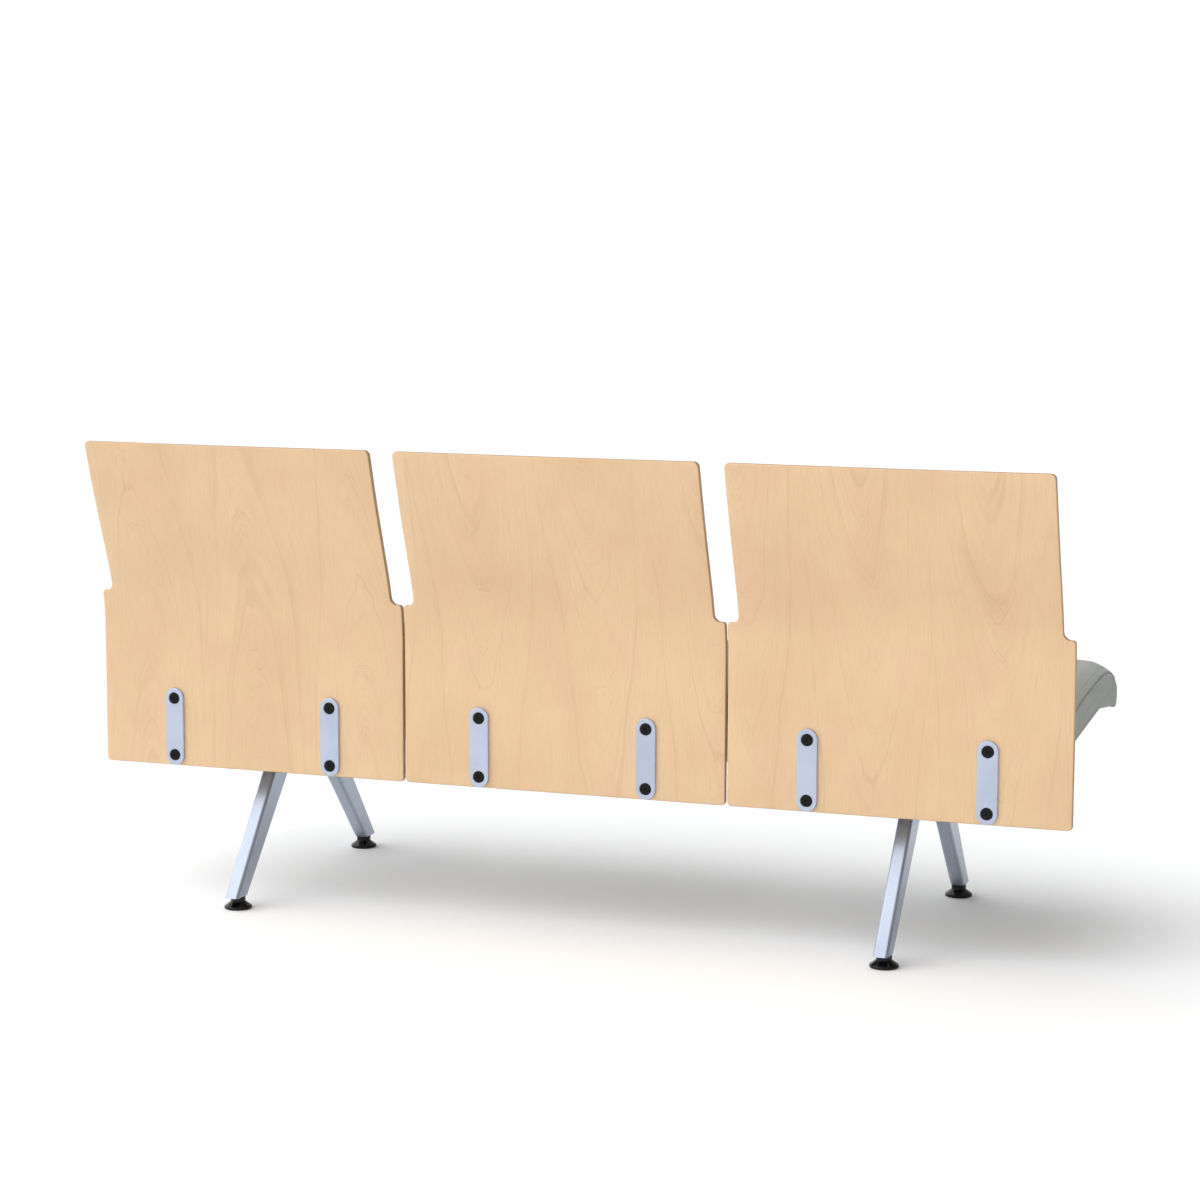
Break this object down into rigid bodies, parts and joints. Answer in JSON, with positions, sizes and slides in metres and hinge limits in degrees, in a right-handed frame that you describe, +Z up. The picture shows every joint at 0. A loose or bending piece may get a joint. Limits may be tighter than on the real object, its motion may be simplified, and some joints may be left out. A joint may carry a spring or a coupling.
{
  "type": "beam seating",
  "caption": "Public bench of upholstered seats with separate moulded plywood backs on a square steel beam, held up by splayed tapered legs with screw-adjusted glides.",
  "frame": {"origin": "on the floor, under the middle of the bench's box", "axes": "+X along the beam towards the sitter's left, +Y towards the backs, +Z up"},
  "size_m": [1.7964, 0.6216, 0.84],
  "materials": {
    "beam_steel": "satin silver powder coat",
    "cap_plastic": "matt black",
    "leg_steel": "satin silver powder coat",
    "plug_plastic": "matt black",
    "plated_fixings": "bright plated",
    "bracket_steel": "satin black powder coat",
    "strap_steel": "satin silver powder coat",
    "moulded_plywood": "clear satin lacquer on pale veneer",
    "black_screws": "satin black",
    "pan_plywood": "bare plywood",
    "cushion_fabric": "grey-green woven wool",
    "stud_steel": "bright plated",
    "glide_plastic": "glossy black"
  },
  "bodies": {
    "bench": {"beam_tube": "beam_steel", "beam_cap_left": "cap_plastic", "leg_rear_left": "leg_steel", "leg_cheek_rear_left": "leg_steel", "leg_plug_rear_left": "plug_plastic", "leg_front_left": "leg_steel", "leg_cheek_front_left": "leg_steel", "leg_plug_front_left": "plug_plastic", "leg_bolts_left": "plated_fixings", "beam_cap_right": "cap_plastic", "leg_rear_right": "leg_steel", "leg_cheek_rear_right": "leg_steel", "leg_plug_rear_right": "plug_plastic", "leg_front_right": "leg_steel", "leg_cheek_front_right": "leg_steel", "leg_plug_front_right": "plug_plastic", "leg_bolts_right": "plated_fixings", "seat_bracket_left_1": "bracket_steel", "strap_plate_left_1": "strap_steel", "seat_bracket_left_2": "bracket_steel", "strap_plate_left_2": "strap_steel", "bracket_bolts_left": "plated_fixings", "back_panel_left": "moulded_plywood", "back_screws_left": "black_screws", "seat_pan_left": "pan_plywood", "seat_screws_left": "plated_fixings", "seat_cushion_left": "cushion_fabric", "seat_bracket_middle_1": "bracket_steel", "strap_plate_middle_1": "strap_steel", "seat_bracket_middle_2": "bracket_steel", "strap_plate_middle_2": "strap_steel", "bracket_bolts_middle": "plated_fixings", "back_panel_middle": "moulded_plywood", "back_screws_middle": "black_screws", "seat_pan_middle": "pan_plywood", "seat_screws_middle": "plated_fixings", "seat_cushion_middle": "cushion_fabric", "seat_bracket_right_1": "bracket_steel", "strap_plate_right_1": "strap_steel", "seat_bracket_right_2": "bracket_steel", "strap_plate_right_2": "strap_steel", "bracket_bolts_right": "plated_fixings", "back_panel_right": "moulded_plywood", "back_screws_right": "black_screws", "seat_pan_right": "pan_plywood", "seat_screws_right": "plated_fixings", "seat_cushion_right": "cushion_fabric"},
    "glide_stud_rear_left": {"glide_stud_rear_left": "stud_steel"},
    "glide_base_rear_left": {"glide_base_rear_left": "glide_plastic"},
    "glide_stud_front_left": {"glide_stud_front_left": "stud_steel"},
    "glide_base_front_left": {"glide_base_front_left": "glide_plastic"},
    "glide_stud_rear_right": {"glide_stud_rear_right": "stud_steel"},
    "glide_base_rear_right": {"glide_base_rear_right": "glide_plastic"},
    "glide_stud_front_right": {"glide_stud_front_right": "stud_steel"},
    "glide_base_front_right": {"glide_base_front_right": "glide_plastic"}
  },
  "joints": [
    {"name": "glide_travel_rear_left", "type": "slide", "parent": "bench", "child": "glide_stud_rear_left", "axis": [0, 0, -1], "range_m": [0, 0.01]},
    {"name": "glide_turn_rear_left", "type": "hinge", "parent": "glide_stud_rear_left", "child": "glide_base_rear_left", "pos_m": [0.6, 0.26873, 0], "axis": [0, 0, -1], "range_deg": [0, 2880]},
    {"name": "glide_travel_front_left", "type": "slide", "parent": "bench", "child": "glide_stud_front_left", "axis": [0, 0, -1], "range_m": [0, 0.01]},
    {"name": "glide_turn_front_left", "type": "hinge", "parent": "glide_stud_front_left", "child": "glide_base_front_left", "pos_m": [0.6, -0.28127, 0], "axis": [0, 0, -1], "range_deg": [0, 2880]},
    {"name": "glide_travel_rear_right", "type": "slide", "parent": "bench", "child": "glide_stud_rear_right", "axis": [0, 0, -1], "range_m": [0, 0.01]},
    {"name": "glide_turn_rear_right", "type": "hinge", "parent": "glide_stud_rear_right", "child": "glide_base_rear_right", "pos_m": [-0.6, 0.26873, 0], "axis": [0, 0, -1], "range_deg": [0, 2880]},
    {"name": "glide_travel_front_right", "type": "slide", "parent": "bench", "child": "glide_stud_front_right", "axis": [0, 0, -1], "range_m": [0, 0.01]},
    {"name": "glide_turn_front_right", "type": "hinge", "parent": "glide_stud_front_right", "child": "glide_base_front_right", "pos_m": [-0.6, -0.28127, 0], "axis": [0, 0, -1], "range_deg": [0, 2880]}
  ],
  "couplings": [
    {"joint": "glide_travel_rear_left", "follows": "glide_turn_rear_left", "m_per_rad": 0.00019894},
    {"joint": "glide_travel_front_left", "follows": "glide_turn_front_left", "m_per_rad": 0.00019894},
    {"joint": "glide_travel_rear_right", "follows": "glide_turn_rear_right", "m_per_rad": 0.00019894},
    {"joint": "glide_travel_front_right", "follows": "glide_turn_front_right", "m_per_rad": 0.00019894}
  ]
}
